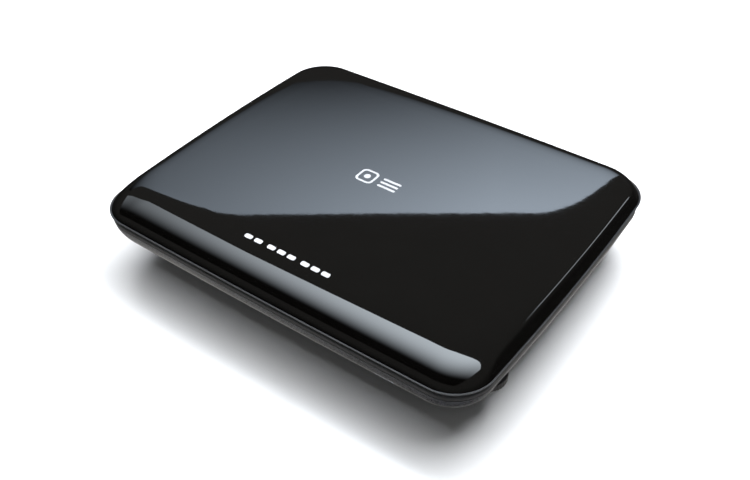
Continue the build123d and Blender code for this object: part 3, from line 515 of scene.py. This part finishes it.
symbol("Sym_Play", "play_key", [
    wedge(KEY_X - 1.6, PLAY_Y, 2.8),
    bar(KEY_X + 1.2, PLAY_Y, 0.7, 2.8),
    bar(KEY_X + 2.5, PLAY_Y, 0.7, 2.8),
])
symbol("Sym_Stop", "stop_key", [bar(KEY_X, STOP_Y, 2.5, 2.5)])
symbol("Sym_Back", "previous_key", skip(BACK_X, -1))
symbol("Sym_Next", "next_key", skip(NEXT_X, 1))
symbol("Sym_Menu", "menu_key", [bar(MENU_X, PAIR_Y + 0.9 * i, 3.2, 0.35) for i in (-1, 0, 1)])
symbol("Sym_Display", "display_key", [
    bar(DISPLAY_X, PAIR_Y + 1.2, 3.4, 0.35),
    bar(DISPLAY_X, PAIR_Y - 1.2, 3.4, 0.35),
    bar(DISPLAY_X - 1.5, PAIR_Y, 0.35, 2.1),
    bar(DISPLAY_X + 1.5, PAIR_Y, 0.35, 2.1),
])
symbol("Sym_Open", "open_button", [
    up_wedge(KEY_X, OPEN_Y + 0.8, 3.4, 2.2),
    bar(KEY_X, OPEN_Y - 1.2, 3.4, 0.7),
])


# ---------------------------------------------------------------- floor and light
def ramp(tree, value, start, end, low, high, smooth=False):
    """A number that goes from low to high as value goes from start to end, and stays there."""
    node = tree.nodes.new("ShaderNodeMapRange")
    node.interpolation_type = "SMOOTHSTEP" if smooth else "LINEAR"
    tree.links.new(value, node.inputs["Value"])
    for name, number in (("From Min", start), ("From Max", end), ("To Min", low), ("To Max", high)):
        node.inputs[name].default_value = number
    return node.outputs["Result"]


def glow_card(name, points, matrix, colour, across, along):
    """A softbox: an emitting polygon in its own XY plane, hidden from the camera.

    across and along are (start, end, low, high, smooth) ramps of its brightness over local X and Y.
    """
    mesh = bpy.data.meshes.new(name)
    mesh.from_pydata([(x, y, 0) for x, y in points], [], [tuple(range(len(points)))])
    card = bpy.data.objects.new(name, mesh)
    card.matrix_world = matrix
    SCENE.collection.objects.link(card)
    card.visible_camera = card.visible_diffuse = False
    material = bpy.data.materials.new(name)
    material.use_nodes = True
    tree = material.node_tree
    tree.nodes.clear()
    place = tree.nodes.new("ShaderNodeTexCoord")
    parts = tree.nodes.new("ShaderNodeSeparateXYZ")
    tree.links.new(place.outputs["Object"], parts.inputs["Vector"])
    power = tree.nodes.new("ShaderNodeMath")
    power.operation = "MULTIPLY"
    tree.links.new(ramp(tree, parts.outputs["X"], *across), power.inputs[0])
    tree.links.new(ramp(tree, parts.outputs["Y"], *along), power.inputs[1])
    glow = tree.nodes.new("ShaderNodeEmission")
    glow.inputs["Color"].default_value = (*colour, 1.0)
    tree.links.new(power.outputs[0], glow.inputs["Strength"])
    out = tree.nodes.new("ShaderNodeOutputMaterial")
    tree.links.new(glow.outputs["Emission"], out.inputs["Surface"])
    card.data.materials.append(material)


def upright(azimuth, distance):
    """The frame of a card that stands at an azimuth from the object and faces it: X right, Y up."""
    a = math.radians(azimuth)
    away = Vector((math.sin(a), math.cos(a), 0))
    right = Vector((away.y, -away.x, 0))
    turn = Matrix((right, Vector((0, 0, 1)), -away)).transposed().to_4x4()
    return Matrix.Translation(away * distance) @ turn


def soft_light(name, direction, distance, size, power):
    """A large area light towards the object that makes no reflection of its own."""
    data = bpy.data.lights.new(name, "AREA")
    data.shape, data.size, data.size_y = "RECTANGLE", size[0], size[1]
    data.energy = power
    light = bpy.data.objects.new(name, data)
    way = Vector(direction).normalized()
    light.location = way * distance
    light.rotation_euler = way.to_track_quat("Z", "Y").to_euler()
    light.visible_glossy = False
    light.visible_camera = False
    SCENE.collection.objects.link(light)


def square(half, low, high):
    """A rectangle's corners, from -half to half across and low to high."""
    return [(-half, low), (half, low), (half, high), (-half, high)]


FLOOR_HALF, GLOW_START, GLOW_FULL = 12.0, 0.5, 1.8


def make_floor():
    """A wide pale floor with a soft sheen. It glows away from the object, so it stays pale to the horizon."""
    mesh = bpy.data.meshes.new("Floor")
    corners = [(x, y, 0) for x, y in square(FLOOR_HALF, -FLOOR_HALF, FLOOR_HALF)]
    mesh.from_pydata(corners, [], [(0, 1, 2, 3)])
    floor = bpy.data.objects.new("Floor", mesh)
    SCENE.collection.objects.link(floor)
    floor.visible_glossy = False
    n = Nodes("Floor_White")
    n.set(Base_Color=(0.86, 0.88, 0.91), Roughness=n.spread(n.noise(30.0), 0.2, 0.24), IOR=1.5)
    reach = n.add("ShaderNodeVectorMath", operation="LENGTH")
    n.put(reach, "Vector", n.place())
    glow = n.spread(reach.outputs["Value"], 0.0, 1.0, GLOW_START, GLOW_FULL)
    n.set(Emission_Color=(0.97, 0.98, 1.0), Emission_Strength=glow)
    paint(floor, n.material)


# the tall card behind: its top edge is level, then curves down at the right and slopes down at the left
BACK_HALF, BACK_LOW, BACK_TOP, BACK_STEPS = 0.8, 0.56, 0.855, 40
BEND_RIGHT, RIGHT_CURVE, BEND_LEFT, LEFT_SLOPE = 0.28, 4.7, -0.43, 0.5
BACK_LEAST = 0.57
# the card overhead, with its right-hand far corner cut away
TOP_CARD = [
    (-1.7, -0.4),
    (0.35, -0.4),
    (0.35, 0.2),
    (-0.26, 0.475),
    (-0.36, 0.475),
    (-0.75, 0.4),
    (-1.7, 0.42),
]
STRIP_HALF, STRIP_LOW, STRIP_HIGH, STRIP_POWER = 0.06, 0.5, 1.1, 5.0


def back_edge():
    """The top edge of the card behind, from right to left."""
    edge = []
    for i in range(BACK_STEPS, -BACK_STEPS - 1, -1):
        x = BACK_HALF * i / BACK_STEPS
        drop = RIGHT_CURVE * max(0.0, x - BEND_RIGHT) ** 2 + LEFT_SLOPE * max(0.0, BEND_LEFT - x)
        edge.append((x, max(BACK_TOP - drop, BACK_LEAST)))
    return edge


def studio():
    """Three glowing cards, which only reflections see, and one large soft light, which they don't."""
    glow_card("Card_Back", [(-BACK_HALF, BACK_LOW), (BACK_HALF, BACK_LOW)] + back_edge(), upright(-36.0, 1.0),
              (0.86, 1.0, 1.17), (-0.78, 0.2, 0.0, 1.0, False), (0.55, 0.86, 0.1, 5.6, False))
    glow_card("Card_Top", TOP_CARD, Matrix.Translation((0.0, 0.0, 1.0)), (0.91, 1.0, 1.08),
              (-1.25, -0.1, 1.5, 10.8, True), (-0.08, 0.44, 0.0, 1.0, True))
    glow_card("Card_Strip", square(STRIP_HALF, STRIP_LOW, STRIP_HIGH), upright(26.0, 1.0), (0.92, 1.0, 1.08),
              (-STRIP_HALF, STRIP_HALF, STRIP_POWER, STRIP_POWER, False),
              (STRIP_LOW, STRIP_HIGH, 1.0, 1.0, False))
    soft_light("Key_Back", (-0.28, 0.35, 1.0), 1.5, (2.1, 2.0), 145.0)


def make_world():
    """A dim surround, brighter overhead and just below the horizon, and white where the camera sees it."""
    world = bpy.data.worlds.new("World")
    SCENE.world = world
    world.use_nodes = True
    tree = world.node_tree
    dim = tree.nodes["Background"]
    dim.inputs["Color"].default_value = (1.0, 0.98, 0.93, 1.0)
    place = tree.nodes.new("ShaderNodeTexCoord")
    parts = tree.nodes.new("ShaderNodeSeparateXYZ")
    tree.links.new(place.outputs["Generated"], parts.inputs["Vector"])
    height = parts.outputs["Z"]
    below, total = tree.nodes.new("ShaderNodeMath"), tree.nodes.new("ShaderNodeMath")
    below.operation, total.operation = "MULTIPLY", "ADD"
    tree.links.new(ramp(tree, height, -0.6, -0.35, 0.5, 0.0, True), below.inputs[0])
    tree.links.new(ramp(tree, height, -0.97, -0.75, 0.05, 1.0), below.inputs[1])
    tree.links.new(below.outputs[0], total.inputs[0])
    tree.links.new(ramp(tree, height, 0.1, 0.7, 0.03, 0.17), total.inputs[1])
    tree.links.new(total.outputs[0], dim.inputs["Strength"])
    white = tree.nodes.new("ShaderNodeBackground")
    white.inputs["Color"].default_value = (1.0, 1.0, 1.0, 1.0)
    rays, mixed = tree.nodes.new("ShaderNodeLightPath"), tree.nodes.new("ShaderNodeMixShader")
    tree.links.new(rays.outputs["Is Camera Ray"], mixed.inputs["Fac"])
    tree.links.new(dim.outputs["Background"], mixed.inputs[1])
    tree.links.new(white.outputs["Background"], mixed.inputs[2])
    tree.links.new(mixed.outputs["Shader"], tree.nodes["World Output"].inputs["Surface"])


make_floor()
studio()
make_world()
